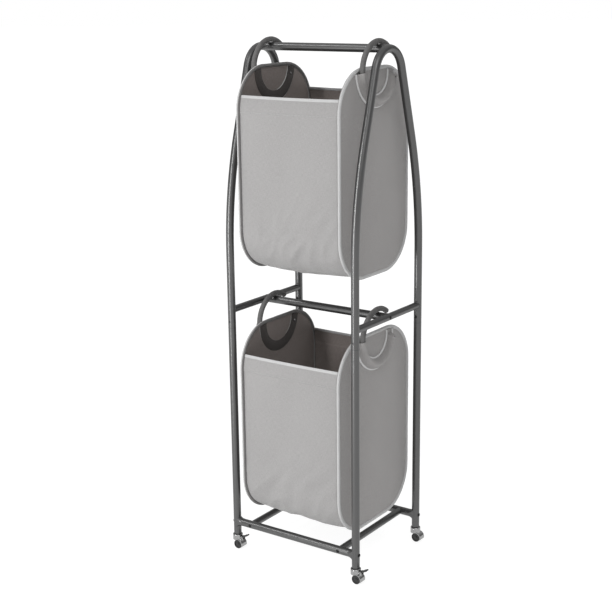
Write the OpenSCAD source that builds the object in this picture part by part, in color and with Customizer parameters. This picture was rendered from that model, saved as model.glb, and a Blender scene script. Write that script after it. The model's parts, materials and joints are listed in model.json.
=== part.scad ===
// Rolling laundry sorter: a bent-tube frame on four casters, with two
// fabric bags that hang one above the other from rods.
// X is the width, Y the depth (front is -Y) and Z is up from the floor.

/* [Frame] */
// Distance between leg centres along the width
leg_span_x = 464; // [420:1:520]
// Distance between leg centres along the depth
leg_span_y = 368; // [340:1:420]
// Outer diameter of the legs, rods and long rails
tube_d = 25; // [22:0.5:28]
// Outer diameter of the cross bars and the base bars
bar_d = 22; // [19:0.5:25]
// Wall thickness of every steel tube
tube_wall = 1.2; // [0.8:0.1:1.6]
// Height of the lower ends of the legs
foot_z = 52; // [50:1:60]
// Height of the base rails' centre line
rail_z = 93.5; // [88:0.5:110]
// Half of the distance between the two base bars
base_bar_x = 172; // [150:1:190]
// Height of the joint between lower leg and upper arch
seam_z = 756; // [740:1:770]
// Height of the lower hanging rod's centre line
mid_rod_z = 813; // [808:1:830]

/* [Arches] */
// Height of the upper hanging rod's centre line
top_rod_z = 1623; // [1600:1:1640]
// Radius of the bend over the top
crown_r = 75; // [65:1:85]
// Length of the straight stretch between the long bend and the top bend
lean_len = 216; // [190:1:240]

/* [Casters] */
// Wheel diameter
wheel_d = 30; // [28:0.5:34]
// Thickness of one wheel
wheel_t = 9.4; // [8:0.1:10]
// Distance from swivel axis to axle
trail = 7; // [5:0.5:8]
// Radial clearance of axle, stem and brake lever pivots
run_gap = 0.06; // [0.03:0.01:0.1]

/* [Bags] */
// Distance from the middle of the bag to each end hoop
hoop_x = 182; // [170:1:185]
// Half of the upper hoops' depth, to the centre line
upper_half_y = 190; // [170:1:195]
// Half of the lower hoops' depth; the fuller lower bag spreads its hoops
lower_half_y = 203; // [180:1:206]
// Hoop top below the rod's centre line
hoop_top = 56; // [55:0.5:70]
// Hoop bottom below the rod's centre line
hoop_bottom = 678.5; // [600:0.5:680]
// Corner radius of the hoop, to its centre line
hoop_corner = 130; // [90:1:140]
// Diameter of the covered hoop wire
hoop_d = 11; // [8:0.5:12]
// Fabric thickness, with its lining
cloth_t = 2; // [1.6:0.1:3]
// Front and back panels' top edge below the rod's centre line
bag_edge = 137; // [110:1:180]

/* [Handles] */
// Radius of the hook ring, to its centre line
ring_r = 87; // [75:1:95]
// Diameter of the foam grip
grip_d = 17; // [14:0.5:18]
// Diameter of the steel wire inside the grip
core_d = 7.8; // [5:0.1:8]

/* [Hidden] */
$fn = 64;
half_x = leg_span_x / 2;
half_y = leg_span_y / 2;
tube_r = tube_d / 2;
bar_r = bar_d / 2;
bore_r = tube_r - tube_wall;
cope = 0.1;              // welded joints stop this far short of the tube they meet

// Arch centre line: leg, long bend, straight lean and crown. It leans 7 across for 24 up
lean_cos = 0.96;
lean_sin = 0.28;
bend_a = atan2(lean_sin, lean_cos);
bend_r = (half_y - crown_r * lean_cos - lean_len * lean_sin) / (1 - lean_cos);
crown_z = top_rod_z - crown_r;
lean_y = half_y - bend_r * (1 - lean_cos);
lean_z = crown_z + crown_r * lean_sin - lean_len * lean_cos;
bend_z = lean_z - bend_r * lean_sin;

// Frame details
spigot_r = bore_r - 0.1;
stub_r = 8;              // stub on the arch's crown that carries the top rod
stub_len = 24;
insert_top = mid_rod_z - bar_r - 4;
screw_z = seam_z + 20;
plug_len = 14;           // solid end of a rod or bar that takes a screw thread
flare_len = 26;          // trumpet end of a base rail
flare_rise = 11;
screw_r = 3;
joint_screw_r = 2.5;
clear_gap = 0.1;
head_r = 6.2;
head_h = 3.2;
small_head_r = 5.6;
small_head_h = 2.6;
joint_head_r = 4.8;
joint_head_h = 2.8;

// Caster details, in the frame of one caster: swivel axis at x = 0, floor at z = 0
wheel_r = wheel_d / 2;
tread_round = 1.5;
dish_in = 5.2;           // dished face of a wheel, from the hub to the rim
dish_rim = 3.2;
dish_depth = 1.6;
axle_r = 2.5;
web_t = 4.4;
side_gap = 0.6;
wheel_in = web_t / 2 + side_gap;
wheel_out = wheel_in + wheel_t;
hood_w = 2 * wheel_out + 2.4;
roof_in = wheel_r + 1.2;
roof_out = roof_in + 2.6;
collar_r = 16.5;
collar_low = 30;
collar_top = foot_z - 2.6;
collar_round = 3;
hub_r = 8;               // end of the web around the axle
stem_r = 4;
stem_top = foot_z + 26;
washer_r = 8;
rivet_head_r = 6.5;
rivet_head_z = 36.5;
lever_x = 20;
lever_z = 39.5;
lever_reach = 25.5;
lever_rise = 25;         // angle of the raised brake lever above level
lever_w = 17;
lever_t = 3.6;
lever_neck = 12;         // length of the narrow part behind the foot plate
lever_corner = 3;
lever_web = 1.6;         // extra depth of the narrow part, towards the barrel
groove_step = 3.6;
groove_w = 1.6;
groove_depth = 0.6;
barrel_r = 4.4;
barrel_room = 5.2;
trunnion_r = 1.8;
ear_in = 5.6;
ear_out = 8;
ear_r = 4.2;

// The origin is under the middle of the whole outline, levers included
outer_left = half_x + collar_r;
outer_right = half_x + lever_x + lever_reach * cos(lever_rise);
shift_x = (outer_right - outer_left) / 2;

// Bag details, measured from the rod's centre line
hang_gap = 0.4;
grip_r = grip_d / 2;
core_r = core_d / 2;
ring_z = -(ring_r - grip_r - tube_r - hang_gap);
hoop_r = hoop_d / 2;
ring_x = hoop_x + hoop_r + grip_r + 0.5;
sleeve_r = grip_r + 2.4;
sleeve_bore = grip_r + 0.3;
hook_end = 52;           // angles on the ring run from the back (+Y) up over the top
grip_end = 338;
core_end = 350;
rivet_at = 346;
rivet_r = 2.2;
rivet_cap_r = 4.2;
rivet_cap_h = 1.6;

steel = [0.30, 0.31, 0.32];
chrome = [0.80, 0.81, 0.83];
plastic = [0.10, 0.10, 0.11];
wheel_grey = [0.23, 0.23, 0.24];
cloth = [0.66, 0.65, 0.64];
end_cloth = [0.55, 0.54, 0.54];
piping = [0.74, 0.74, 0.73];
foam = [0.36, 0.36, 0.34];

// ---- helpers ----

module placed(x, y, z = 0) translate([x - shift_x, y, z]) children();

// Turns a shape drawn in XY so that its X is Y, its Y is Z and it faces +X
module in_yz() rotate([90, 0, 90]) children();

module along_x(r, x0, x1) translate([x0, 0, 0]) rotate([0, 90, 0]) cylinder(r = r, h = x1 - x0);

module along_y(r, y0, y1) translate([0, y0, 0]) rotate([-90, 0, 0]) cylinder(r = r, h = y1 - y0);

module tube_z(r, wall, h) difference() {
    cylinder(r = r, h = h);
    translate([0, 0, -1]) cylinder(r = r - wall, h = h + 2);
}

// Part of a ring of round section in the YZ plane; angles run from +Y up
module arc_bar(ring, r, from, turn) in_yz() rotate([0, 0, from])
    rotate_extrude(angle = turn) translate([ring, 0]) circle(r = r);

// Low dome of a screw or rivet head, standing on z = 0
module dome(r, h) intersection() {
    cylinder(r = r, h = h);
    translate([0, 0, h - (r * r + h * h) / (2 * h)]) sphere(r = (r * r + h * h) / (2 * h));
}

// ---- frame ----

// Tilts a leg inwards by bend_a
lean_turn = [[1, 0, 0, 0], [0, lean_cos, -lean_sin, 0], [0, lean_sin, lean_cos, 0], [0, 0, 0, 1]];

// Solid rod bent to the arch's line, in its own plane x = 0; drop lengthens the legs
module arch_line(r, drop = 0) {
    for (s = [0, 1]) mirror([0, s, 0]) {
        translate([0, half_y, seam_z - drop]) cylinder(r = r, h = bend_z - seam_z + drop);
        translate([0, half_y - bend_r, bend_z]) arc_bar(bend_r, r, 0, bend_a);
        translate([0, lean_y, lean_z]) multmatrix(lean_turn) cylinder(r = r, h = lean_len);
    }
    translate([0, 0, crown_z]) arc_bar(crown_r, r, bend_a, 180 - 2 * bend_a);
}

// side is -1 for left and 1 for right
module upper_arch(side) color(steel) placed(side * half_x, 0) difference() {
    union() {
        arch_line(tube_r);
        translate([0, 0, top_rod_z]) mirror([side > 0 ? 1 : 0, 0, 0])
            along_x(stub_r, 2, tube_r + stub_len);
    }
    arch_line(bore_r, 1);
    for (s = [-1, 1]) translate([0, s * half_y, screw_z])
        along_y(joint_screw_r + clear_gap, -tube_d, tube_d);
}

module cross_bar(side) color(steel) placed(side * half_x, 0, mid_rod_z) difference() {
    along_y(bar_r, -half_y, half_y);
    along_y(bar_r - tube_wall, -half_y - 1, half_y + 1);
    for (s = [-1, 1]) translate([0, s * half_y, -tube_d]) cylinder(r = tube_r + cope, h = 2 * tube_d);
    along_x(screw_r + clear_gap, -tube_d, tube_d);
}

module lower_leg(side, end) color(steel) placed(side * half_x, end * half_y) difference() {
    union() {
        translate([0, 0, foot_z]) tube_z(tube_r, tube_wall, seam_z - foot_z);
        translate([0, 0, seam_z - 24]) tube_z(bore_r + 0.3, 1.5, 24);
        translate([0, 0, seam_z - 4]) tube_z(spigot_r, 1.2, insert_top - seam_z + 4);
    }
    translate([0, 0, rail_z]) along_x(screw_r + clear_gap, -tube_d, tube_d);
    translate([0, 0, screw_z]) along_y(joint_screw_r + clear_gap, -tube_d, tube_d);
}

// Radius of the trumpet end at a distance s from where it starts
function flare_radius(s) = tube_r + flare_rise * pow(s / flare_len, 2.2);

// Trumpet-shaped saddle that widens up and down towards the leg
module rail_flare() intersection() {
    rotate([0, 90, 0]) rotate_extrude() polygon(concat(
        [[0, -10], [tube_r, -10]],
        [for (i = [0 : 8]) [flare_radius(i * flare_len / 8), i * flare_len / 8]],
        [[0, flare_len]]));
    translate([-10, -tube_r, -tube_d]) cube([flare_len + 10, tube_d, 2 * tube_d]);
}

module long_rail(end) color(steel) placed(0, end * half_y, rail_z) difference() {
    union() {
        difference() {
            along_x(tube_r, -half_x + flare_len, half_x - flare_len);
            along_x(bore_r, -half_x + flare_len + 8, half_x - flare_len - 8);
        }
        for (s = [0, 1]) mirror([s, 0, 0]) translate([half_x - flare_len, 0, 0]) rail_flare();
    }
    for (s = [-1, 1]) {
        translate([s * half_x, 0, -2 * tube_d]) cylinder(r = tube_r + cope, h = 4 * tube_d);
        translate([s * base_bar_x, 0, 0]) along_y(screw_r + clear_gap, -tube_d, tube_d);
        translate([s * half_x, 0, 0]) along_x(screw_r + clear_gap, -44, 44);
    }
}

module base_bar(side) color(steel) placed(side * base_bar_x, 0, rail_z) difference() {
    along_y(bar_r, -half_y, half_y);
    along_y(bar_r - tube_wall, -half_y + tube_r + plug_len, half_y - tube_r - plug_len);
    for (s = [-1, 1]) translate([0, s * half_y, 0]) {
        along_x(tube_r + cope, -tube_d, tube_d);
        along_y(screw_r + clear_gap, -tube_r - plug_len - 1, tube_r + plug_len + 1);
    }
}

module top_rod() color(steel) placed(0, 0, top_rod_z) difference() {
    along_x(tube_r, -half_x, half_x);
    along_x(bore_r, -half_x + tube_r + plug_len, half_x - tube_r - plug_len);
    for (s = [-1, 1]) translate([s * half_x, 0, 0]) {
        translate([0, 0, -crown_r]) arc_bar(crown_r, tube_r + cope, 60, 60);
        along_x(stub_r + clear_gap, -tube_r - stub_len - 1, tube_r + stub_len + 1);
    }
}

module mid_rod() color(steel) placed(0, 0, mid_rod_z) difference() {
    along_x(tube_r, -half_x, half_x);
    along_x(bore_r, -half_x + bar_r + plug_len, half_x - bar_r - plug_len);
    for (s = [-1, 1]) translate([s * half_x, 0, 0]) {
        along_y(bar_r + cope, -tube_d, tube_d);
        along_x(screw_r + clear_gap, -bar_r - plug_len - 1, bar_r + plug_len + 1);
    }
}

// ---- fasteners ----

module leg_joint_screws() color(steel) for (side = [-1, 1], end = [-1, 1])
    placed(side * half_x, end * (half_y - tube_r), screw_z) rotate([0, 0, end > 0 ? -90 : 90]) {
        rotate([0, 90, 0]) dome(joint_head_r, joint_head_h);
        along_x(joint_screw_r, -tube_d + 1.5, 0);
    }

module rail_bolts() color(steel) for (side = [-1, 1], end = [-1, 1])
    placed(side * (half_x + tube_r), end * half_y, rail_z) rotate([0, 0, side > 0 ? 0 : 180]) {
        rotate([0, 90, 0]) dome(head_r, head_h);
        along_x(screw_r, -tube_d - 28, 0);
    }

module base_bar_bolts() color(steel) for (side = [-1, 1], end = [-1, 1])
    placed(side * base_bar_x, end * (half_y + tube_r), rail_z) rotate([0, 0, end * 90]) {
        rotate([0, 90, 0]) dome(small_head_r, small_head_h);
        along_x(screw_r, -tube_d - plug_len + 2, 0);
    }

module mid_rod_screws() color(steel) for (side = [-1, 1])
    placed(side * (half_x + bar_r), 0, mid_rod_z) rotate([0, 0, side > 0 ? 0 : 180]) {
        rotate([0, 90, 0]) dome(small_head_r, small_head_h);
        along_x(screw_r, -bar_d - plug_len + 2, 0);
    }

// ---- casters ----

module caster_sockets() color(plastic) for (side = [-1, 1], end = [-1, 1])
    placed(side * half_x, end * half_y) difference() {
        union() {
            translate([0, 0, foot_z - 2]) cylinder(r = tube_r + 0.3, h = 2);
            translate([0, 0, foot_z - 1]) cylinder(r = spigot_r, h = stem_top - foot_z + 5);
        }
        translate([0, 0, foot_z - 3]) cylinder(r = stem_r + 0.05, h = stem_top - foot_z + 4);
    }

module stem(side, end) color(chrome) placed(side * half_x, end * half_y) {
    cylinder_from(stem_r, rivet_head_z + 0.5, stem_top);
    cylinder_from(rivet_head_r, rivet_head_z, rivet_head_z + 2);
    cylinder_from(washer_r, collar_top + 0.1, foot_z - 2.05);
}

module cylinder_from(r, z0, z1) translate([0, 0, z0]) cylinder(r = r, h = z1 - z0);

// Swivel collar with a rounded shoulder
module hood_collar() rotate_extrude() union() {
    translate([0, collar_low]) square([collar_r, collar_top - collar_round - collar_low]);
    translate([0, collar_top - collar_round - 0.01]) square([collar_r - collar_round, collar_round + 0.01]);
    translate([collar_r - collar_round, collar_top - collar_round]) circle(r = collar_round);
}

// Roof over the top and back of the wheels
module hood_roof() translate([trail, 0, wheel_r]) intersection() {
    difference() {
        along_y(roof_out, -hood_w / 2, hood_w / 2);
        along_y(roof_in, -hood_w, hood_w);
    }
    union() {
        translate([-8, -hood_w, 0]) cube([40, 2 * hood_w, 40]);
        translate([0, -hood_w, -5]) cube([40, 2 * hood_w, 8]);
    }
}

// Plate between the wheels that carries the axle
module hood_web() translate([trail, 0, wheel_r]) {
    along_y(hub_r, -web_t / 2, web_t / 2);
    intersection() {
        along_y(roof_in + 1, -web_t / 2, web_t / 2);
        translate([-hub_r - 1, -web_t, -2]) cube([40, 2 * web_t, 40]);
    }
}

module brake_ears() for (s = [0, 1]) mirror([0, s, 0]) difference() {
    union() {
        translate([lever_x, 0, lever_z]) along_y(ear_r, ear_in, ear_out);
        translate([lever_x - 9, ear_in, collar_low])
            cube([9 + ear_r, ear_out - ear_in, lever_z - collar_low]);
    }
    translate([lever_x, 0, lever_z]) along_y(trunnion_r + run_gap, ear_in - 1, ear_out + 1);
}

module hood(side, end) color(chrome) placed(side * half_x, end * half_y) difference() {
    union() {
        difference() {
            union() {
                hood_collar();
                if (end < 0) brake_ears();
            }
            translate([trail, 0, wheel_r]) along_y(roof_in, -hood_w, hood_w);
            if (end < 0) translate([lever_x, 0, lever_z]) along_y(barrel_room, -ear_in, ear_in);
        }
        hood_roof();
        hood_web();
    }
    cylinder_from(stem_r + run_gap, rivet_head_z, collar_top + 1);
    cylinder_from(rivet_head_r + 0.2, roof_in + wheel_r - 4, rivet_head_z + 2.1);
    translate([trail, 0, wheel_r]) along_y(axle_r, -web_t, web_t);
}

module axle(side, end) color(chrome) placed(side * half_x + trail, end * half_y, wheel_r)
    along_y(axle_r, -wheel_out + 2, wheel_out - 2);

// outer is 1 for the wheel that faces away from the middle of the frame
module wheel(side, end, outer) color(wheel_grey)
    placed(side * half_x + trail, end * half_y, wheel_r) mirror([0, end * outer > 0 ? 0 : 1, 0])
    translate([0, wheel_in, 0]) rotate([-90, 0, 0]) rotate_extrude() wheel_section();

// Half section of a wheel: tread, dished face and hub, with a blind axle hole
module wheel_section() difference() {
    union() {
        square([wheel_r - tread_round, wheel_t]);
        translate([0, tread_round]) square([wheel_r, wheel_t - 2 * tread_round]);
        for (z = [tread_round, wheel_t - tread_round])
            translate([wheel_r - tread_round, z]) circle(r = tread_round);
    }
    for (z = [wheel_t - dish_depth, dish_depth - 2])
        translate([dish_in, z]) square([wheel_r - dish_in - dish_rim, 2]);
    translate([-1, -1]) square([axle_r + run_gap + 1, wheel_t - 0.6]);
}

// Outline of the lever's foot plate, with rounded corners at the tip
module lever_plate() {
    translate([lever_neck - 2, -lever_w / 2]) square([lever_reach - lever_corner - lever_neck + 2, lever_w]);
    translate([lever_neck - 2, -lever_w / 2 + lever_corner])
        square([lever_reach - lever_neck + 2, lever_w - 2 * lever_corner]);
    for (s = [-1, 1]) translate([lever_reach - lever_corner, s * (lever_w / 2 - lever_corner)])
        circle(r = lever_corner);
}

// Raised foot lever with a barrel, moulded pivots and three grip grooves
module brake_lever(side) color(plastic) placed(side * half_x + lever_x, -half_y, lever_z) {
    barrel = ear_in - side_gap / 2;
    along_y(trunnion_r, -ear_out + 0.2, ear_out - 0.2);
    along_y(barrel_r, -barrel, barrel);
    rotate([0, -lever_rise, 0]) difference() {
        union() {
            translate([0, 0.4 - barrel, -lever_web])
                cube([lever_neck, 2 * barrel - 0.8, lever_t + lever_web]);
            linear_extrude(height = lever_t) lever_plate();
        }
        for (i = [0 : 2])
            translate([lever_neck + 1.5 + i * groove_step, -lever_w, lever_t - groove_depth])
                cube([groove_w, 2 * lever_w, 2]);
    }
}

// ---- bags ----

// Centre-line rounded rectangle of a hoop in YZ, moved inwards by inset.
// deep is half of the hoop's depth, rod_z the height of the bag's rod
module hoop_outline(deep, inset) {
    r = hoop_corner - inset;
    for (sy = [-1, 1], z = [-hoop_top - hoop_corner, -hoop_bottom + hoop_corner])
        translate([sy * (deep - hoop_corner), z]) circle(r = r);
    translate([-deep + inset, -hoop_bottom + hoop_corner])
        square([2 * (deep - inset), hoop_bottom - hoop_top - 2 * hoop_corner]);
    translate([-deep + hoop_corner, -hoop_bottom + inset])
        square([2 * (deep - hoop_corner), hoop_bottom - hoop_top - 2 * inset]);
}

// Wire hoop in its fabric piping
module bag_hoop(rod_z, deep, side) color(piping) placed(side * hoop_x, 0, rod_z) {
    top = -hoop_top - hoop_corner;
    low = -hoop_bottom + hoop_corner;
    flat = deep - hoop_corner;
    for (s = [0, 1]) mirror([0, s, 0]) {
        translate([0, deep, low]) cylinder(r = hoop_r, h = top - low);
        translate([0, flat, top]) arc_bar(hoop_corner, hoop_r, 0, 90);
        translate([0, flat, low]) arc_bar(hoop_corner, hoop_r, 270, 90);
    }
    for (z = [-hoop_top, -hoop_bottom]) translate([0, 0, z]) along_y(hoop_r, -flat, flat);
}

// Front, bottom and back in one strip of cloth
module bag_body(rod_z, deep) color(cloth) placed(0, 0, rod_z) intersection() {
    in_yz() linear_extrude(height = 2 * (hoop_x - hoop_r - 0.1), center = true) difference() {
        hoop_outline(deep, -cloth_t / 2);
        hoop_outline(deep, cloth_t / 2);
    }
    translate([-hoop_x, -deep - 20, -hoop_bottom - 20])
        cube([2 * hoop_x, 2 * deep + 40, hoop_bottom + 20 - bag_edge]);
}

// End panel with the sewn sleeve that holds the lower half of the handle ring
module bag_end(rod_z, deep, side) color(end_cloth)
    placed(side * hoop_x, 0, rod_z) mirror([side > 0 ? 0 : 1, 0, 0]) difference() {
        union() {
            in_yz() linear_extrude(height = cloth_t, center = true) hoop_outline(deep, hoop_r + 0.2);
            intersection() {
                translate([0, 0, ring_z]) in_yz() rotate_extrude() {
                    translate([ring_r, ring_x - hoop_x]) circle(r = sleeve_r);
                    translate([ring_r - sleeve_r, 0]) square([2 * sleeve_r, ring_x - hoop_x]);
                }
                in_yz() linear_extrude(height = 60) hoop_outline(deep, hoop_r + 0.2);
            }
        }
        translate([ring_x - hoop_x, 0, ring_z]) in_yz() rotate_extrude()
            translate([ring_r, 0]) circle(r = sleeve_bore);
        on_ring(rivet_at) along_x(rivet_r + 0.05, -20, 60);
    }

// Moves a shape to an angle on the handle ring, with x = 0 in the hoop's plane
module on_ring(angle) translate([0, ring_r * cos(angle), ring_z + ring_r * sin(angle)]) children();

module bag_grip(rod_z, side) color(foam) placed(side * ring_x, 0, rod_z + ring_z) difference() {
    union() {
        arc_bar(ring_r, grip_r, hook_end, grip_end - hook_end);
        translate([0, ring_r * cos(hook_end), ring_r * sin(hook_end)]) sphere(r = grip_r - 0.5);
    }
    arc_bar(ring_r, core_r + 0.05, hook_end + 1, grip_end - hook_end + 1);
}

module bag_handle_cores(rod_z) color(chrome) for (side = [-1, 1])
    placed(side * ring_x, 0, rod_z + ring_z) difference() {
        arc_bar(ring_r, core_r, hook_end + 1.2, core_end - hook_end - 1.2);
        translate([0, ring_r * cos(rivet_at), ring_r * sin(rivet_at)])
            along_x(rivet_r + 0.05, -20, 20);
    }

module bag_rivets(rod_z) color(chrome) for (side = [-1, 1])
    placed(side * hoop_x, 0, rod_z) mirror([side > 0 ? 0 : 1, 0, 0]) on_ring(rivet_at) {
        inner = -cloth_t / 2;
        outer = ring_x - hoop_x + sleeve_r;
        along_x(rivet_r, inner - 0.5, outer + 0.5);
        translate([outer, 0, 0]) rotate([0, 90, 0]) dome(rivet_cap_r, rivet_cap_h);
        translate([inner, 0, 0]) rotate([0, -90, 0]) dome(rivet_cap_r, rivet_cap_h);
    }

upper_arch(-1);  // upper_arch_left
upper_arch(1);  // upper_arch_right
cross_bar(-1);  // cross_bar_left
cross_bar(1);  // cross_bar_right
lower_leg(-1, -1);  // lower_leg_front_left
lower_leg(1, -1);  // lower_leg_front_right
lower_leg(-1, 1);  // lower_leg_rear_left
lower_leg(1, 1);  // lower_leg_rear_right
long_rail(-1);  // front_rail
long_rail(1);  // rear_rail
base_bar(-1);  // base_bar_left
base_bar(1);  // base_bar_right
top_rod();
mid_rod();
leg_joint_screws();
rail_bolts();
base_bar_bolts();
mid_rod_screws();
caster_sockets();
stem(-1, -1);  // stem_front_left
hood(-1, -1);  // hood_front_left
axle(-1, -1);  // axle_front_left
wheel(-1, -1, 1);  // wheel_outer_front_left
wheel(-1, -1, -1);  // wheel_inner_front_left
stem(1, -1);  // stem_front_right
hood(1, -1);  // hood_front_right
axle(1, -1);  // axle_front_right
wheel(1, -1, 1);  // wheel_outer_front_right
wheel(1, -1, -1);  // wheel_inner_front_right
stem(-1, 1);  // stem_rear_left
hood(-1, 1);  // hood_rear_left
axle(-1, 1);  // axle_rear_left
wheel(-1, 1, 1);  // wheel_outer_rear_left
wheel(-1, 1, -1);  // wheel_inner_rear_left
stem(1, 1);  // stem_rear_right
hood(1, 1);  // hood_rear_right
axle(1, 1);  // axle_rear_right
wheel(1, 1, 1);  // wheel_outer_rear_right
wheel(1, 1, -1);  // wheel_inner_rear_right
brake_lever(-1);  // brake_lever_left
brake_lever(1);  // brake_lever_right
bag_body(top_rod_z, upper_half_y);  // upper_bag_body
bag_end(top_rod_z, upper_half_y, -1);  // upper_bag_end_left
bag_end(top_rod_z, upper_half_y, 1);  // upper_bag_end_right
bag_hoop(top_rod_z, upper_half_y, -1);  // upper_bag_hoop_left
bag_hoop(top_rod_z, upper_half_y, 1);  // upper_bag_hoop_right
bag_grip(top_rod_z, -1);  // upper_bag_grip_left
bag_grip(top_rod_z, 1);  // upper_bag_grip_right
bag_handle_cores(top_rod_z);  // upper_bag_handle_cores
bag_rivets(top_rod_z);  // upper_bag_rivets
bag_body(mid_rod_z, lower_half_y);  // lower_bag_body
bag_end(mid_rod_z, lower_half_y, -1);  // lower_bag_end_left
bag_end(mid_rod_z, lower_half_y, 1);  // lower_bag_end_right
bag_hoop(mid_rod_z, lower_half_y, -1);  // lower_bag_hoop_left
bag_hoop(mid_rod_z, lower_half_y, 1);  // lower_bag_hoop_right
bag_grip(mid_rod_z, -1);  // lower_bag_grip_left
bag_grip(mid_rod_z, 1);  // lower_bag_grip_right
bag_handle_cores(mid_rod_z);  // lower_bag_handle_cores
bag_rivets(mid_rod_z);  // lower_bag_rivets
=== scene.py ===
"""Looks of the rolling laundry sorter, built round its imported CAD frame.

Lengths are in metres. +X is the object's right, -Y its front and +Z up.
"""
import json
import math

import bpy
import numpy as np
from mathutils import Matrix, Vector, noise


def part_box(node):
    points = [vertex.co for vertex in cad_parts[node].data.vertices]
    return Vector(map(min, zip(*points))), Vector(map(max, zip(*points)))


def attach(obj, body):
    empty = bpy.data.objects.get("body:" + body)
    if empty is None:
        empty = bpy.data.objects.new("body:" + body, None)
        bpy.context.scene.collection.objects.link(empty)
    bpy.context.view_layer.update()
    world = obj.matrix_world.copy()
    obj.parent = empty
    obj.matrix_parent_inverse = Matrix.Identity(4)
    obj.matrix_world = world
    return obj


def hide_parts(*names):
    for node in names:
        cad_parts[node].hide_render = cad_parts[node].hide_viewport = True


MM = 0.001
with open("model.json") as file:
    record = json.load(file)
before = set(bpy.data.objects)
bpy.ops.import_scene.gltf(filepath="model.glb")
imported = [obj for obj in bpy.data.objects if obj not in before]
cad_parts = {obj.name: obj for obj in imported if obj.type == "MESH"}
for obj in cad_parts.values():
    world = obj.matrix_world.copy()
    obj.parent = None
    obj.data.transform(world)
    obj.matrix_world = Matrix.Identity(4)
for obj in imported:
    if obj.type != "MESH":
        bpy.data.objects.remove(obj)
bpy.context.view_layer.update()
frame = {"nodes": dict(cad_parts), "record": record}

# ---- camera, floor and light ----

EYE = Vector((2.1510, -3.1811, 1.8041))
TURN = 0.6132            # radians about Z, from looking along +Y
TILT = 0.2509            # radians below level
ROLL = -0.0126
LENS = 73.58             # mm
SENSOR = 36.0            # mm
FLOOR_HALF = 90.0        # the floor runs past the horizon


def make_camera():
    data = bpy.data.cameras.new("camera")
    data.lens = LENS
    data.sensor_width = SENSOR
    data.clip_end = 60.0
    camera = bpy.data.objects.new("camera", data)
    bpy.context.scene.collection.objects.link(camera)
    turn = Matrix.Rotation(TURN, 4, "Z") @ Matrix.Rotation(math.pi / 2 - TILT, 4, "X")
    camera.matrix_world = Matrix.Translation(EYE) @ turn @ Matrix.Rotation(ROLL, 4, "Z")
    bpy.context.scene.camera = camera


def soft_sun(name, azimuth, elevation, strength, spread):
    """Distant light as from a large softbox.

    Azimuth 0 stands in front (-Y) and 90 on the right. All three angles are in degrees.
    """
    data = bpy.data.lights.new(name, "SUN")
    data.energy = strength
    data.angle = math.radians(spread)
    light = bpy.data.objects.new(name, data)
    bpy.context.scene.collection.objects.link(light)
    turn, rise = math.radians(azimuth), math.radians(elevation)
    place = Vector((math.sin(turn) * math.cos(rise), -math.cos(turn) * math.cos(rise), math.sin(rise)))
    light.location = place * 3
    light.rotation_euler = place.to_track_quat("Z", "Y").to_euler()


def strip_light(place, size, watts):
    """Tall strip box in front: it draws the line of light down the upright tubes."""
    data = bpy.data.lights.new("strip", "AREA")
    data.shape = "RECTANGLE"
    data.size, data.size_y = size
    data.energy = watts
    light = bpy.data.objects.new("strip", data)
    bpy.context.scene.collection.objects.link(light)
    light.location = place
    light.rotation_euler = Vector((place[0], place[1], 0)).to_track_quat("Z", "Y").to_euler()
    light.visible_camera = False


def make_world():
    """White backdrop for the camera; for the light, a ceiling that is brighter than the walls."""
    world = bpy.data.worlds.new("studio")
    bpy.context.scene.world = world
    world.use_nodes = True
    tree = world.node_tree
    direction = tree.nodes.new("ShaderNodeTexCoord").outputs["Generated"]
    split = tree.nodes.new("ShaderNodeSeparateXYZ")
    tree.links.new(direction, split.inputs["Vector"])
    ceiling = tree.nodes.new("ShaderNodeMapRange")
    tree.links.new(split.outputs["Z"], ceiling.inputs["Value"])
    for socket, value in (("From Min", 0.15), ("From Max", 0.75), ("To Min", 0.24), ("To Max", 0.70)):
        ceiling.inputs[socket].default_value = value
    seen = tree.nodes.new("ShaderNodeLightPath").outputs["Is Camera Ray"]
    strength = tree.nodes.new("ShaderNodeMath")
    strength.operation = "MAXIMUM"
    tree.links.new(seen, strength.inputs[0])
    tree.links.new(ceiling.outputs["Result"], strength.inputs[1])
    background = tree.nodes["Background"]
    background.inputs["Color"].default_value = (1.0, 1.0, 1.0, 1.0)
    tree.links.new(strength.outputs[0], background.inputs["Strength"])


def make_studio():
    make_world()
    soft_sun("left", -50, 42, 0.4, 12)
    soft_sun("right", 42, 36, 0.8, 40)
    strip_light((-0.6, -2.55, 1.2), (0.12, 2.4), 46)
    bpy.context.scene.view_settings.view_transform = "Standard"
    corners = [(x * FLOOR_HALF, y * FLOOR_HALF, 0) for x, y in ((-1, -1), (1, -1), (1, 1), (-1, 1))]
    mesh = bpy.data.meshes.new("floor")
    mesh.from_pydata(corners, [], [(0, 1, 2, 3)])
    floor = bpy.data.objects.new("floor", mesh)
    bpy.context.scene.collection.objects.link(floor)
    paper = Shader("floor_paper", {"Base Color": (0.22, 0.22, 0.22, 1), "Roughness": 0.85,
                                   "Emission Color": (1, 1, 1, 1), "Emission Strength": 0.87})
    mesh.materials.append(paper.material)


# ---- materials ----

WAVE_PERIOD = 2 * math.pi / 20     # a wave texture of scale 1 repeats every 2 pi / 20


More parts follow.
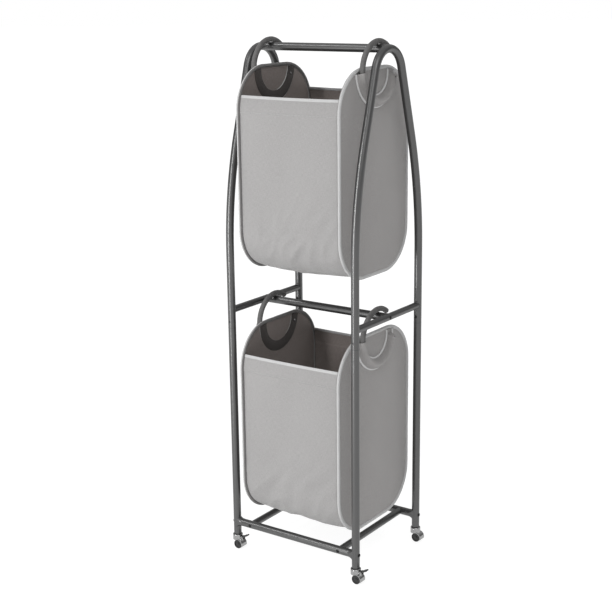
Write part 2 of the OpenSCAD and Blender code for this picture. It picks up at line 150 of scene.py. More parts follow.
class Shader:
    """A Principled material and short calls that add nodes to it."""

    def __init__(self, name, sockets):
        self.material = bpy.data.materials.new(name)
        self.material.use_nodes = True
        self.tree = self.material.node_tree
        self.shader = self.tree.nodes["Principled BSDF"]
        for socket, value in sockets.items():
            self.shader.inputs[socket].default_value = value

    def add(self, kind, inputs=None, **settings):
        node = self.tree.nodes.new(kind)
        for key, value in settings.items():
            setattr(node, key, value)
        for key, value in (inputs or {}).items():
            if isinstance(value, bpy.types.NodeSocket):
                self.tree.links.new(value, node.inputs[key])
            else:
                node.inputs[key].default_value = value
        return node

    def place(self, stretch=(1, 1, 1), flat=False):
        """Coordinates in metres: the cloth's own flat ones, or the object's."""
        if flat:
            source = self.add("ShaderNodeAttribute", attribute_name="flat").outputs["Vector"]
        else:
            source = self.add("ShaderNodeTexCoord").outputs["Object"]
        return self.add("ShaderNodeMapping", {"Vector": source, "Scale": stretch}).outputs["Vector"]

    def noise(self, vector, scale, detail=3.0, roughness=0.5):
        inputs = {"Vector": vector, "Scale": scale, "Detail": detail, "Roughness": roughness}
        return self.add("ShaderNodeTexNoise", inputs).outputs["Fac"]

    def remap(self, value, low, high, start=0.3, end=0.7):
        inputs = {"Value": value, "From Min": start, "From Max": end, "To Min": low, "To Max": high}
        return self.add("ShaderNodeMapRange", inputs).outputs["Result"]

    def blend(self, factor, first, second):
        """Colour mix: inputs 0, 6 and 7 are the factor and the colours, and output 2 is the result."""
        return self.add("ShaderNodeMix", {0: factor, 6: first, 7: second}, data_type="RGBA").outputs[2]

    def times(self, first, second):
        """Product of two colours."""
        product = self.blend(1.0, first, second)
        product.node.blend_type = "MULTIPLY"
        return product

    def maths(self, operation, first, second):
        return self.add("ShaderNodeMath", {0: first, 1: second}, operation=operation).outputs[0]

    def colour(self, socket):
        self.tree.links.new(socket, self.shader.inputs["Base Color"])

    def roughness(self, socket):
        self.tree.links.new(socket, self.shader.inputs["Roughness"])

    def bump(self, height, distance, strength=1.0):
        inputs = {"Height": height, "Distance": distance, "Strength": strength}
        node = self.add("ShaderNodeBump", inputs)
        self.tree.links.new(node.outputs["Normal"], self.shader.inputs["Normal"])


def grey(value, warm=0.0):
    """Grey, with warm as the share that red gains; blue loses less."""
    return (value * (1 + warm), value, value * (1 - 0.4 * warm), 1.0)


def weave(sh, vector, pitch):
    """Height of a plain weave: warp threads over weft threads, cell by cell."""
    inputs = {"Vector": vector, "Scale": WAVE_PERIOD / pitch}
    warp = sh.add("ShaderNodeTexWave", inputs, bands_direction="X").outputs["Fac"]
    weft = sh.add("ShaderNodeTexWave", inputs, bands_direction="Y").outputs["Fac"]
    cells = sh.add("ShaderNodeTexChecker", {"Vector": vector, "Scale": 1 / pitch}).outputs["Fac"]
    return sh.blend(cells, warp, weft)


def cloth(name, tone, warm, pitch=0.9 * MM, melange=0.10, sheen=0.2):
    """Woven polyester with uneven threads, a faint melange, a matt sheen and painted shade in the gaps
    between threads.
    """
    thread, slub = 1100, 90      # noise scale across and along a thread
    sh = Shader(name, {"Sheen Weight": sheen, "Sheen Roughness": 0.45, "Specular IOR Level": 0.25})
    flat = sh.place(flat=True)
    height = weave(sh, flat, pitch)
    warp_tone = sh.noise(sh.place((thread, slub, 1), flat=True), 1.0, 2.0)
    weft_tone = sh.noise(sh.place((slub, thread, 1), flat=True), 1.0, 2.0)
    threads = sh.remap(sh.maths("ADD", warp_tone, weft_tone), 0.0, 1.0, 0.75, 1.25)
    fine = sh.blend(threads, grey(tone * (1 - melange), warm), grey(tone * (1 + melange), warm))
    uneven = sh.remap(sh.noise(flat, 5.0, 2.0), 0.0, 1.0, 0.35, 0.65)
    broad = sh.blend(uneven, grey(0.965), grey(1.0))
    shade = sh.times(fine, broad)
    # Painted shade: the colour darkens where the weave sinks between the threads.
    weave_gap_shade = sh.blend(sh.remap(height, 0.0, 1.0, 0.0, 0.6), grey(0.80), grey(1.0))
    sh.colour(sh.times(shade, weave_gap_shade))
    sh.roughness(sh.remap(threads, 0.82, 0.94, 0.0, 1.0))
    fuzz = sh.maths("MULTIPLY", sh.noise(flat, 350.0), 0.6)
    sh.bump(sh.maths("ADD", height, fuzz), 0.25 * MM, 0.8)
    return sh.material


def tape(name, tone, warm=0.0, pitch=0.55 * MM):
    """Ribbed binding tape."""
    sh = Shader(name, {"Sheen Weight": 0.2, "Specular IOR Level": 0.3})
    flat = sh.place(flat=True)
    inputs = {"Vector": flat, "Scale": WAVE_PERIOD / pitch, "Distortion": 0.6}
    ribs = sh.add("ShaderNodeTexWave", inputs).outputs["Fac"]
    cloud = sh.remap(sh.noise(flat, 45.0), 0.0, 1.0)
    sh.colour(sh.blend(cloud, grey(tone * 0.93, warm), grey(tone, warm)))
    sh.roughness(sh.remap(ribs, 0.75, 0.9, 0.0, 1.0))
    sh.bump(ribs, 0.2 * MM, 0.7)
    return sh.material


def paint():
    """Satin gunmetal powder coat: fine orange peel, faint handling marks."""
    sh = Shader("gunmetal_paint", {"Metallic": 0.85})
    here = sh.place()
    peel = sh.noise(here, 1300.0, 2.0)
    flake = sh.remap(sh.noise(here, 5200.0, 1.0), 0.0, 1.0, 0.4, 0.65)
    handled = sh.noise(sh.place((1, 1, 0.25)), 22.0, 6.0, 0.65)
    rubbed = sh.remap(handled, 0.0, 1.0, 0.5, 0.72)
    base = sh.blend(flake, grey(0.106), grey(0.118))
    sh.colour(sh.blend(sh.maths("MULTIPLY", rubbed, 0.15), base, grey(0.14)))
    sh.roughness(sh.remap(sh.noise(here, 60.0, 5.0), 0.31, 0.35))
    sh.bump(peel, 0.002 * MM, 0.3)
    return sh.material


def fastener():
    """Blackened steel, worn lighter here and there."""
    sh = Shader("dark_screw", {"Metallic": 0.85})
    here = sh.place()
    worn = sh.remap(sh.noise(here, 900.0, 4.0), 0.0, 1.0, 0.45, 0.7)
    sh.colour(sh.blend(worn, grey(0.012), grey(0.05)))
    sh.roughness(sh.remap(worn, 0.36, 0.55, 0.0, 1.0))
    sh.bump(sh.noise(here, 2200.0), 0.06 * MM, 0.6)
    return sh.material


def chrome():
    """Bright plating with faint smears."""
    sh = Shader("chrome_plate", {"Metallic": 1.0})
    here = sh.place()
    smear = sh.remap(sh.noise(here, 160.0, 5.0, 0.6), 0.0, 1.0)
    sh.colour(sh.blend(smear, grey(0.26), grey(0.40)))
    sh.roughness(sh.remap(smear, 0.05, 0.13, 0.0, 1.0))
    sh.bump(sh.noise(here, 420.0, 2.0), 0.08 * MM, 0.25)
    return sh.material


def plastic(name, tone, gloss):
    """Moulded plastic: a fine spark-eroded grain and scuffs that lighten it."""
    sh = Shader(name, {"Specular IOR Level": 0.45})
    here = sh.place()
    scuff = sh.remap(sh.noise(sh.place((1, 1, 3)), 260.0, 6.0, 0.7), 0.0, 1.0, 0.52, 0.75)
    sh.colour(sh.blend(sh.maths("MULTIPLY", scuff, 0.5), grey(tone), grey(tone * 2.2)))
    sh.roughness(sh.remap(scuff, gloss, gloss + 0.2, 0.0, 1.0))
    sh.bump(sh.noise(here, 1500.0, 2.0), 0.1 * MM, 0.5)
    return sh.material


def foam():
    """Closed-cell foam sleeve: pitted skin, chalky roughness."""
    sh = Shader("foam_sleeve", {"Specular IOR Level": 0.22, "Sheen Weight": 0.15})
    flat = sh.place(flat=True)
    cells = sh.add("ShaderNodeTexVoronoi", {"Vector": flat, "Scale": 1100.0}).outputs["Distance"]
    cloud = sh.remap(sh.noise(flat, 70.0, 4.0), 0.0, 1.0)
    sh.colour(sh.blend(cloud, grey(0.088, 0.02), grey(0.118, 0.02)))
    sh.roughness(sh.remap(cells, 0.92, 0.74, 0.0, 0.8))
    sh.bump(sh.maths("ADD", cells, sh.noise(flat, 180.0)), 0.22 * MM, 0.7)
    return sh.material


make_camera()
make_studio()
PAINT = paint()
SCREW = fastener()
CHROME = chrome()
BLACK = plastic("black_moulding", 0.018, 0.42)
WHEEL = plastic("wheel_nylon", 0.011, 0.38)
FRONT = cloth("front_cloth", 0.315, 0.02)
LINING = cloth("taupe_lining", 0.235, 0.15, melange=0.16, sheen=0.1)
END = cloth("end_cloth", 0.315, 0.035)
FACING = cloth("dark_facing", 0.070, 0.12, sheen=0.1)
PIPING = tape("piping_tape", 0.46)
# Painted shade: a darker copy of the piping tape for the hoop piping's faces turned into the bag.
SHADED_INNER_PIPING = tape("inner_piping_tape", 0.15, 0.03)
BINDING = tape("white_binding", 0.45)
SEAM_CORD = tape("sleeve_piping", 0.62)
THREAD = tape("grey_thread", 0.42, pitch=0.3 * MM)
DARK_THREAD = tape("dark_thread", 0.06, pitch=0.3 * MM)
FOAM = foam()

BY_SLOT = {
    "frame_paint": PAINT,
    "dark_fastener": SCREW,
    "chrome": CHROME,
    "black_plastic": BLACK,
    "wheel_plastic": WHEEL,
    "bag_cloth": FRONT,
    "end_cloth": END,
    "hoop_piping": PIPING,
    "foam_grip": FOAM,
}
for part in frame["record"]["subparts"]:
    mesh = frame["nodes"][part["node"]].data
    mesh.materials.clear()
    mesh.materials.append(BY_SLOT[part["material_slot"]])


# ---- mesh builders ----

def to_object(name, points, faces, flat, materials, indices=None):
    """A smooth mesh. flat is each point's place on the flat cloth, and indices each face's material."""
    mesh = bpy.data.meshes.new(name)
    mesh.from_pydata([tuple(p) for p in points], [], faces)
    for material in materials:
        mesh.materials.append(material)
    if indices is not None:
        mesh.polygons.foreach_set("material_index", np.asarray(indices, np.int32))
    mesh.polygons.foreach_set("use_smooth", np.full(len(faces), True))
    layer = mesh.attributes.new("flat", "FLOAT_VECTOR", "POINT")
    layer.data.foreach_set("vector", np.asarray(flat, np.float32).ravel())
    mesh.update()
    piece = bpy.data.objects.new(name, mesh)
    bpy.context.scene.collection.objects.link(piece)
    return piece


def unit(vectors):
    return vectors / np.maximum(np.linalg.norm(vectors, axis=-1, keepdims=True), 1e-12)


def distances(path):
    """Distance of each point from the first one, along the path."""
    return np.concatenate([[0], np.cumsum(np.linalg.norm(np.diff(path, axis=0), axis=1))])


def circle(sides):
    """Angles of the corners of a section."""
    return np.arange(sides) * 2 * math.pi / sides


def grid_normals(grid):
    """Unit normals of a grid of points."""
    return unit(np.cross(np.gradient(grid, axis=0), np.gradient(grid, axis=1)))


def shell(name, grid, flat, thickness, outside, inside):
    """A closed thin shell about a grid of points; the grid's normal side gets the outside material."""
    rows, columns = grid.shape[:2]
    normals = grid_normals(grid)
    points = np.concatenate([(grid + normals * thickness / 2).reshape(-1, 3),
                             (grid - normals * thickness / 2).reshape(-1, 3)])
    count = rows * columns
    index = np.arange(count).reshape(rows, columns)
    quads = np.stack([index[:-1, :-1], index[1:, :-1], index[1:, 1:], index[:-1, 1:]], -1).reshape(-1, 4)
    rim = np.concatenate([index[0, :], index[1:, -1], index[-1, -2::-1], index[-2:0:-1, 0]])
    after = np.roll(rim, -1)
    edge = np.stack([rim, after, after + count, rim + count], -1)
    faces = np.concatenate([quads, quads[:, ::-1] + count, edge])
    kinds = [0] * len(quads) + [1] * len(quads) + [0] * len(edge)
    layer = np.concatenate([flat.reshape(-1, 2)] * 2)
    layer = np.column_stack([layer, np.zeros(len(layer))])
    return to_object(name, points, faces.tolist(), layer, [outside, inside], kinds)


def tube(name, path, side, radius, material, sides=18, closed=False, out=None, second_half=None):
    """A tube along a path.

    side is a direction across it, and radius a number or an array per ring and side. out gives another
    section from the angle. second_half is (material, test) for the faces whose angle passes the test.
    """
    path = np.asarray(path, float)
    if closed:
        tangent = unit(np.roll(path, -1, 0) - np.roll(path, 1, 0))
    else:
        tangent = unit(np.gradient(path, axis=0))
    first = np.broadcast_to(np.asarray(side, float), path.shape)
    first = unit(first - (first * tangent).sum(1, keepdims=True) * tangent)
    second = np.cross(tangent, first)
    angle = circle(sides)
    size = np.broadcast_to(radius, (len(path), sides))
    if out is None:
        wide, high = size * np.cos(angle), size * np.sin(angle)
    else:
        wide, high = [np.broadcast_to(reach, size.shape) for reach in out(angle)]
    rings = path[:, None] + wide[..., None] * first[:, None] + high[..., None] * second[:, None]
    count = len(path)
    index = np.arange(count * sides).reshape(count, sides)
    ahead = np.roll(index, -1, 0) if closed else index[1:]
    here = index if closed else index[:-1]
    faces = np.stack([here, np.roll(here, -1, 1), np.roll(ahead, -1, 1), ahead], -1)
    faces = faces.reshape(-1, 4).tolist()
    points = rings.reshape(-1, 3)
    across = np.tile(angle * float(np.mean(size)), count)
    flat = np.stack([np.repeat(distances(path), sides), across, np.zeros(count * sides)], -1)
    if not closed:
        faces += [index[0, ::-1].tolist(), index[-1].tolist()]
    if second_half is None:
        return to_object(name, points, faces, flat, [material])
    chosen = [1 if second_half[1](turn + math.pi / sides) else 0 for turn in angle]
    kinds = chosen * (len(faces) // sides)
    return to_object(name, points, faces, flat, [material, second_half[0]], kinds)


def stitches(name, path, side, material, pitch=5.0 * MM, length=3.5 * MM, radius=0.45 * MM):
    """A row of stitches: short rounded bars half sunk in the cloth, with side as the way out of it."""
    sides = 6
    tip = 0.35                   # thickness of a stitch's ends, as a share of its middle
    stand, sink = 0.9, -0.2      # height of its middle and its ends over the cloth, in radii
    path = np.asarray(path, float)
    side = np.broadcast_to(np.asarray(side, float), path.shape)
    along = distances(path)
    points, faces, flat = [], [], []
    for start in np.arange(pitch, along[-1] - pitch, pitch):
        ends = [start - length / 2, start - length / 4, start + length / 4, start + length / 2]
        spine = np.stack([np.interp(ends, along, path[:, k]) for k in range(3)], -1)
        lift = unit(np.array([np.interp(start, along, side[:, k]) for k in range(3)]))
        across = np.cross(unit(spine[-1] - spine[0]), lift)
        base = len(points)
        for k, (shrink, height) in enumerate(((tip, sink), (1.0, stand), (1.0, stand), (tip, sink))):
            for turn in circle(sides):
                reach = (math.cos(turn) * across + math.sin(turn) * lift) * radius * shrink
                points.append(spine[k] + lift * radius * height + reach)
                flat.append((ends[k], turn * radius, 0))
        for k in range(len(ends) - 1):
            low = base + k * sides
            for m in range(sides):
                after = (m + 1) % sides
                faces.append([low + m, low + after, low + sides + after, low + sides + m])
        faces.append([base + m for m in reversed(range(sides))])
        faces.append([base + (len(ends) - 1) * sides + m for m in range(sides)])
    return to_object(name, points, faces, flat, [material])


def waves(points, scale, seed):
    """Smooth noise at each point, from about -1 to 1."""
    offset = Vector((seed * 7.3, seed * 3.1, seed * 1.7))
    points = np.asarray(points)
    values = [noise.noise(Vector(point) * scale + offset) for point in points.reshape(-1, 3)]
    return np.array(values).reshape(points.shape[:-1])


def smooth(value, start, end):
    """Rise from 0 at start to 1 at end, with no kink at either."""
    t = np.clip((value - start) / (end - start), 0, 1)
    return t * t * (3 - 2 * t)


# ---- bags ----

CORNER = 130 * MM        # corner radius of a hoop's centre line
CLOTH = 1.5 * MM         # thickness of the lined cloth
SEAM = 3.2 * MM          # the front, bottom and back are sewn this far inside the hoops' centre line
HEM = 53 * MM            # depth of the hem below the front and back top edges
HEM_STEP = 0.7 * MM      # how far the doubled cloth of a hem stands out
TAPE = 9.5 * MM          # height of the white binding on those edges
BAND = 17 * MM           # half of the sleeve's width, seam to seam
HOOK_END = 52            # angles are in degrees round the handle ring, from the back (+Y) up
GRIP_END = 338           # end of the foam, inside the sleeve
RIVET_AT = 346
SLEEVE_CLOSE = 348       # past the rivet the sleeve closes down to the panel
SAG = 9 * MM             # how far the bottom hangs in the middle
PULL_IN = 1.5 * MM       # how far the front and back go in
SOFT_FOLD = 4.2 * MM     # broad waves of the cloth
RIDGE = 9 * MM           # creases above the bottom
FINE_FOLD = 1.2 * MM
DIP = 1.6 * MM           # sag of the top edges
BELLY = 8 * MM           # bulge of an end panel
PANEL_FOLD = 1.8 * MM    # upright folds in it
FOLD_WIDTH = 190 * MM


class Bag:
    """Sizes of one bag, read from its CAD nodes."""

    def __init__(self, name):
        self.name = name
        self.body = name + "_bag"
        low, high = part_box(name + "_bag_hoop_right")
        self.wire = (high.x - low.x) / 2
        self.mid = (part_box(name + "_bag_hoop_left")[0].x + high.x) / 2
        self.hoop_x = high.x - self.wire - self.mid
        self.half = high.y - self.wire
        self.top = high.z - self.wire
        self.bottom = low.z + self.wire
        self.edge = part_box(name + "_bag_body")[1].z
        grip_low, grip_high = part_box(name + "_bag_grip_right")
        self.grip = (grip_high.x - grip_low.x) / 2
        self.ring_x = grip_high.x - self.grip - self.mid
        self.ring = (grip_high.z - grip_low.z) / 2 - self.grip
        self.ring_z = grip_high.z - self.grip - self.ring
        self.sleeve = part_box(name + "_bag_end_right")[1].x - self.mid - self.hoop_x

    def outline(self, inset=0.0, step=4 * MM):
        """Closed rounded outline in (y, z), from the middle of the top towards the back."""
        radius = CORNER - inset
        flat = self.half - CORNER
        turns = np.linspace(math.pi / 2, 0, 30)
        down = turns - math.pi / 2
        top = self.top - CORNER
        low = self.bottom + CORNER
        upper = np.stack([flat + radius * np.cos(turns), top + radius * np.sin(turns)], -1)
        lower = np.stack([flat + radius * np.cos(down), low + radius * np.sin(down)], -1)
        half = np.concatenate([[[0, top + radius]], upper, lower, [[0, low - radius]]])
        whole = np.concatenate([half, half[-2:0:-1] * [-1, 1], [half[0]]])
        along = distances(whole)
        count = int(along[-1] / step)
        places = np.linspace(0, along[-1], count, endpoint=False)
        return np.stack([np.interp(places, along, whole[:, k]) for k in range(2)], -1)

    def width_at(self, z, inset):
        """Half width of the outline at height z."""
        radius = CORNER - inset
        high = np.clip(z - (self.top - CORNER), 0, radius)
        low = np.clip((self.bottom + CORNER) - z, 0, radius)
        return self.half - CORNER + np.sqrt(np.maximum(radius ** 2 - high ** 2 - low ** 2, 0))

    def bow(self, y, z):
        """How far an end panel stands outwards of its hoop's plane."""
        share = 1 - (y / self.half) ** 2
        rise = np.clip((z - self.bottom) / (self.top - self.bottom), 0, 1)
        belly = BELLY * share * np.sin(math.pi * np.clip(rise, 0, 1)) ** 0.7
        fold = PANEL_FOLD * np.cos(2 * math.pi * (y / FOLD_WIDTH + 0.05 + 0.12 * rise))
        return belly + fold * share * np.sin(math.pi * np.clip(rise * 1.1, 0, 1))


    def on_ring(self, offset, degrees):
        """(y, z) at an angle round the handle ring, at a distance outside its centre line."""
        turn = np.radians(degrees)
        return (self.ring + offset) * np.cos(turn), self.ring_z + (self.ring + offset) * np.sin(turn)


def strip_path(bag):
    """Line of the front, bottom and back in (y, z), from the front top edge to the back one."""
    ring = bag.outline(SEAM, 1 * MM)
    keep = ring[ring[:, 1] <= bag.edge]
    lowest = int(np.argmin(np.abs(keep[:, 0]) + (keep[:, 1] - keep[:, 1].min())))
    back, front = keep[:lowest + 1], keep[lowest + 1:]
    return np.concatenate([front[::-1], back[::-1]])


def bag_skin(bag, seed):
    """Front, bottom and back in one strip of lined cloth."""
    columns, row_step, hem_step = 73, 5 * MM, 0.6 * MM
    line = strip_path(bag)
    along = distances(line)
    length = along[-1]
    rows = np.linspace(0, length, int(length / row_step))
    hems = [place + shift for place in (HEM, length - HEM) for shift in (-hem_step, hem_step)]
    rows = np.sort(np.concatenate([rows, hems]))
    y = np.interp(rows, along, line[:, 0])
    z = np.interp(rows, along, line[:, 1])
    tangent = unit(np.stack([np.gradient(y, rows), np.gradient(z, rows)], -1))
    outward = np.stack([tangent[:, 1], -tangent[:, 0]], -1)
    if outward[0, 0] > 0:
        outward = -outward
    half_x = bag.hoop_x - bag.wire * 0.75
    u, s = np.meshgrid(np.linspace(-1, 1, columns), rows, indexing="ij")
    from_edge = np.minimum(s, length - s)
    down = np.clip(-outward[:, 1], 0, 1)[None, :]
    across = 1 - u ** 2
    points = np.stack([u * half_x, np.broadcast_to(y, u.shape), np.broadcast_to(z, u.shape)], -1)
    low = smooth(np.broadcast_to(bag.edge - z, u.shape), 0.22, 0.46)
    near = smooth(from_edge, 0, 90 * MM)
    soft = waves(points * [1, 0.6, 0.6], 9.0, seed) * SOFT_FOLD
    creases = waves(np.stack([u * 0.9 + 3.5 * s, s * 3.0, np.zeros_like(u)], -1), 3.4, seed + 4)
    ridges = (1 - 2 * np.abs(creases)) * RIDGE * low * (1 - 0.8 * down)
    fine = waves(points * [1.6, 1, 1], 30.0, seed + 9) * FINE_FOLD * (0.25 + low)
    off = (down * SAG - (1 - down) * PULL_IN * near) * across
    off = off + (soft * (0.35 + 0.65 * near) + ridges + fine) * np.sqrt(np.clip(across, 0, 1))
    off = off + np.where(from_edge < HEM, HEM_STEP, 0)
    points[..., 1] += off * outward[:, 0][None, :]
    points[..., 2] += off * outward[:, 1][None, :]
    points[..., 2] -= DIP * across * (1 - near)
    points[..., 0] += bag.mid
    flat = np.stack([points[..., 0], s], -1)
    if grid_normals(points)[columns // 2, 4, 1] > 0:
        points, flat = points[::-1], flat[::-1]
    skin = shell(bag.name + "_bag_cloth", points, flat, CLOTH, FRONT, LINING)
    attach(skin, bag.body)
    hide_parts(bag.name + "_bag_body")
    return skin, points, rows, length, half_x


def edge_tape(bag, skin_points, which):
    """White binding folded over the front or back top edge."""
    row = 0 if which == "front" else -1
    ahead = 3 if which == "front" else -4
    over, half_thick = 1.2 * MM, 1.5 * MM
    top = skin_points[:, row]
    down = unit(skin_points[:, ahead] - top)
    centre = top + down * (TAPE / 2 - over)

    def section(angle):
        long = np.sign(np.cos(angle)) * np.abs(np.cos(angle)) ** 0.55 * TAPE / 2
        thin = np.sign(np.sin(angle)) * np.abs(np.sin(angle)) ** 0.7 * half_thick
        return long, thin
    piece = tube(f"{bag.name}_bag_binding_{which}", centre, down, TAPE / 2, BINDING, sides=16, out=section)
    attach(piece, bag.body)
    return piece


def on_panel(bag, y, z, side, lift):
    """Points on an end panel, lifted outwards."""
    x = bag.mid + side * (bag.hoop_x + bag.bow(y, z) + lift)
    return np.stack([x, y, z], -1)


def end_panel(bag, side, label, seed):
    """End panel, slightly bowed, light outside and taupe inside."""
    inset = bag.wire * 0.6
    radius = CORNER - inset
    turns = np.linspace(0, math.pi / 2, 22)
    top, low = bag.top - CORNER, bag.bottom + CORNER
    straight = np.linspace(top, low, 70)[1:-1]
    heights = np.concatenate([top + radius * np.cos(turns), straight, low - radius * np.sin(turns)])
    u, z = np.meshgrid(np.linspace(-1, 1, 61), heights, indexing="ij")
    y = u * bag.width_at(z, inset)
    bump = waves(np.stack([np.zeros_like(y), y, z * 0.5], -1), 14.0, seed) * 1.3 * MM * (1 - u ** 2)
    points = on_panel(bag, y, z, side, bump)
    if side * grid_normals(points)[30, 45, 0] < 0:
        points, y, z = points[::-1], y[::-1], z[::-1]
    panel = shell(f"{bag.name}_bag_panel_{label}", points, np.stack([y, z], -1), CLOTH, END, LINING)
    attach(panel, bag.body)
    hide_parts(f"{bag.name}_bag_end_{label}")
    return panel


def ring_limits(bag, offset, inset):
    """Angles, in degrees, at which a circle about the ring's centre leaves the panel."""
    angles = np.linspace(150, 390, 961)
    y, z = bag.on_ring(offset, angles)
    inside = (np.abs(y) < bag.width_at(z, inset)) & (z < bag.top - inset)
    return angles[inside][0], angles[inside][-1]


def sleeve_height(bag, offset, angle):
    """Height of the sleeve over the panel: a rounded ridge over the wire, closed past the rivet."""
    ridge = np.clip(1 - (offset / BAND) ** 2, 0, 1) ** 0.78
    closing = 1 - 0.9 * smooth(angle, SLEEVE_CLOSE, SLEEVE_CLOSE + 7)
    return (bag.sleeve - 2.2 * MM) * ridge * closing


def handle_sleeve(bag, side, label):
    """The U-shaped sleeve that holds the handle ring, with a piped seam along each edge."""
    seam, cord_radius, cord_lift = BAND + 0.6 * MM, 3.2 * MM, 2.4 * MM
    offsets = BAND * np.sin(np.linspace(-math.pi / 2, math.pi / 2, 33))
    columns = []
    for offset in offsets:
        start, end = ring_limits(bag, offset, bag.wire + 0.5 * MM)
        angle = np.linspace(start, end, 110)
        y, z = bag.on_ring(offset, angle)
        pucker = waves(np.stack([y, z, np.full_like(y, offset)], -1), 70.0, 3) * 0.5 * MM
        lift = sleeve_height(bag, offset, angle) + 0.6 * MM + pucker * (1 - (offset / BAND) ** 2)
        columns.append(np.column_stack([on_panel(bag, y, z, side, lift), angle]))
    grid = np.array(columns)
    points, angle = grid[..., :3], grid[..., 3]
    flat = np.stack([np.radians(angle) * bag.ring, np.broadcast_to(offsets[:, None], angle.shape)], -1)
    if side * grid_normals(points)[16, 55, 0] < 0:
        points, flat = points[::-1], flat[::-1]
    sleeve = shell(f"{bag.name}_bag_sleeve_{label}", points, flat, 1.2 * MM, END, LINING)
    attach(sleeve, bag.body)
    for edge, offset in (("inner", -seam), ("outer", seam)):
        start, end = ring_limits(bag, offset, bag.wire + 0.2 * MM)
        path = on_panel(bag, *bag.on_ring(offset, np.linspace(start, end, 120)), side, cord_lift)
        name = f"{bag.name}_bag_sleeve_piping_{edge}_{label}"
        cord = tube(name, path, (side, 0, 0), cord_radius, SEAM_CORD, sides=12)
        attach(cord, bag.body)


def inner_facing(bag, side, label):
    """Dark U-shaped facing inside the panel, behind the sleeve."""
    gap, crown = 1.1 * MM, 2.2 * MM
    rivet_dent = 12              # degrees each side of the rivet over which the puff fades
    offsets = np.linspace(-BAND, BAND, 17)
    columns = []
    for offset in offsets:
        start, end = ring_limits(bag, offset, bag.wire + 0.5 * MM)
        angle = np.linspace(start, end, 90)
        y, z = bag.on_ring(offset, angle)
        clear = np.clip(np.abs(angle - RIVET_AT) / rivet_dent, 0, 1)
        puff = crown * (1 - (offset / BAND) ** 2) * clear
        columns.append(np.column_stack([on_panel(bag, y, z, side, -gap - puff), angle]))
    grid = np.array(columns)
    points, angle = grid[..., :3], grid[..., 3]
    flat = np.stack([np.radians(angle) * bag.ring, np.broadcast_to(offsets[:, None], angle.shape)], -1)
    if side * grid_normals(points)[8, 45, 0] > 0:
        points, flat = points[::-1], flat[::-1]
    facing = shell(f"{bag.name}_bag_facing_{label}", points, flat, 0.9 * MM, FACING, FACING)
    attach(facing, bag.body)
    for edge, row in (("inner", 1), ("outer", -2)):
        name = f"{bag.name}_bag_facing_seam_{edge}_{label}"
        seam = stitches(name, points[row], (-side, 0, 0), DARK_THREAD)
        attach(seam, bag.body)


def around_path(angle, reach):
    """Steps off a path, one for each side of a section, that make the noise differ round it."""
    return np.stack([np.cos(angle), np.sin(angle), 0 * angle], -1)[None] * reach


def hoop_piping(bag, side, label, seed):
    """The wire hoop in its cloth cover, slightly gathered, with its seam on the inner side and painted
    shade on the faces turned into the bag.
    """
    ring = bag.outline(step=2.5 * MM)
    path = np.column_stack([np.full(len(ring), bag.mid + side * bag.hoop_x), ring])
    sides = 20
    gather_depth, lump, seam, seam_turn = 0.16 * MM, 0.35 * MM, 0.7 * MM, 0.35
    inward = unit(path.mean(0) - path)
    angle = circle(sides)
    along = np.arange(len(path))[:, None]
    gather = gather_depth * np.sin(along * 1.9 + 2 * np.sin(angle[None, :] + seed))
    lumps = waves(path[:, None] + around_path(angle, 4 * MM), 55.0, seed)
    radius = bag.wire + gather + lumps * lump
    from_seam = np.angle(np.exp(1j * angle))
    radius = radius + seam * np.exp(-(from_seam / seam_turn) ** 2)[None, :]
    tangent = path[1] - path[0]
    across = np.cross(tangent, inward[0])[0]

    def faces_in(turn):
        return math.sin(turn) * across * side < -0.25 * abs(across)
    name = f"{bag.name}_bag_piping_{label}"
    # Painted shade: faces turned into the bag take the darker tape.
    inner = (SHADED_INNER_PIPING, faces_in)
    piping = tube(name, path, inward, radius, PIPING, sides=sides, closed=True, second_half=inner)
    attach(piping, bag.body)
    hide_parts(f"{bag.name}_bag_hoop_{label}")


def foam_grip(bag, side, label, seed):
    """Foam sleeve on the hook handle, rounded at the free end."""
    sides = 24
    nose_turn, nose_length = 6, 5 * MM
    dent, ripple, ripple_length = 0.25 * MM, 0.10 * MM, 2.3 * MM
    nose_end = HOOK_END + nose_turn
    nose_part = np.linspace(HOOK_END, nose_end, 9)[:-1]
    degrees = np.concatenate([nose_part, np.linspace(nose_end, GRIP_END, 190)])
    angle = np.radians(degrees)
    path = np.column_stack([np.full(len(angle), bag.mid + side * bag.ring_x), *bag.on_ring(0, degrees)])
    around = circle(sides)
    inward = np.column_stack([0 * angle, -np.cos(angle), -np.sin(angle)])
    skin = waves(path[:, None] + around_path(around, 6 * MM), 60.0, seed)
    radius = bag.grip + skin * dent
    inner = np.clip(np.cos(around), 0, 1)[None, :]
    radius = radius + (ripple * np.sin(angle * bag.ring / ripple_length))[:, None] * inner
    start = (angle - angle[0]) * bag.ring
    nose = np.sqrt(np.clip(1 - (1 - np.clip(start / nose_length, 0, 1)) ** 2, 0.04, 1))
    radius = radius * nose[:, None]
    grip = tube(f"{bag.name}_bag_foam_{label}", path, inward, radius, FOAM, sides=sides)
    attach(grip, bag.body)
    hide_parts(f"{bag.name}_bag_grip_{label}")


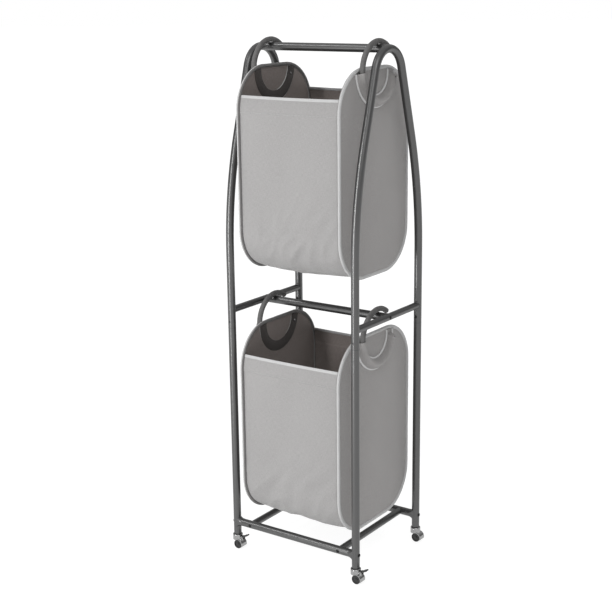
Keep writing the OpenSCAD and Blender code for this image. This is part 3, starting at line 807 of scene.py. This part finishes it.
def hem_rows(bag, skin_points, rows, length):
    """A line of stitches at the foot of each hem."""
    foot = HEM - 2.5 * MM
    normals = grid_normals(skin_points)
    for which, place in (("front", foot), ("back", length - foot)):
        column = int(np.argmin(np.abs(rows - place)))
        line = skin_points[:, column] + normals[:, column] * CLOTH / 2
        seam = stitches(f"{bag.name}_bag_hem_{which}", line, normals[:, column], THREAD)
        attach(seam, bag.body)


def make_bag(name, seed):
    """One bag. seed sets its folds."""
    bag = Bag(name)
    skin, points, rows, length, half_x = bag_skin(bag, seed)
    tapes = [edge_tape(bag, points, which) for which in ("front", "back")]
    hem_rows(bag, points, rows, length)
    for side, label in ((-1, "left"), (1, "right")):
        panel = end_panel(bag, side, label, seed + side)
        handle_sleeve(bag, side, label)
        inner_facing(bag, side, label)
        hoop_piping(bag, side, label, seed + side)
        foam_grip(bag, side, label, seed + side)


make_bag("upper", 2.0)
make_bag("lower", 5.0)


# ---- welds and joint lines of the frame ----

def bead(name, centre, bar, leg, towards):
    """Weld bead where a front-to-back bar of radius bar meets a vertical tube of radius leg."""
    turn = circle(60)
    wide = bar * np.cos(turn)
    reach = np.sqrt(np.maximum(leg ** 2 - wide ** 2, 0))
    ripple = 1.1 * MM + 0.25 * MM * np.abs(np.sin(turn * 14))
    path = np.column_stack([wide, towards * reach, bar * np.sin(turn)]) + np.asarray(centre)
    piece = tube(name, path, (0, 0, 1), ripple[:, None], PAINT, sides=8, closed=True)
    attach(piece, "frame")


def leg_details(end, side):
    """Weld of the cross bar, and the dark line where the leg meets the arch."""
    low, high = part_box(f"lower_leg_{end}_{side}")
    centre = (low + high) / 2
    radius = (high.x - low.x) / 2
    bar_low, bar_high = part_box(f"cross_bar_{side}")
    bar = (bar_high.z - bar_low.z) / 2
    height = (bar_low.z + bar_high.z) / 2
    bead(f"weld_{end}_{side}", (centre.x, centre.y, height), bar, radius, 1 if end == "front" else -1)
    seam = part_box(f"upper_arch_{side}")[0].z
    turn = circle(48)
    reach = radius - 0.15 * MM
    x, y = centre.x + reach * np.cos(turn), centre.y + reach * np.sin(turn)
    ring = np.column_stack([x, y, np.full_like(turn, seam)])
    line = tube(f"joint_line_{end}_{side}", ring, (0, 0, 1), 0.5 * MM, BLACK, sides=8, closed=True)
    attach(line, "frame")


for leg_side in ("left", "right"):
    for leg_end in ("front", "rear"):
        leg_details(leg_end, leg_side)
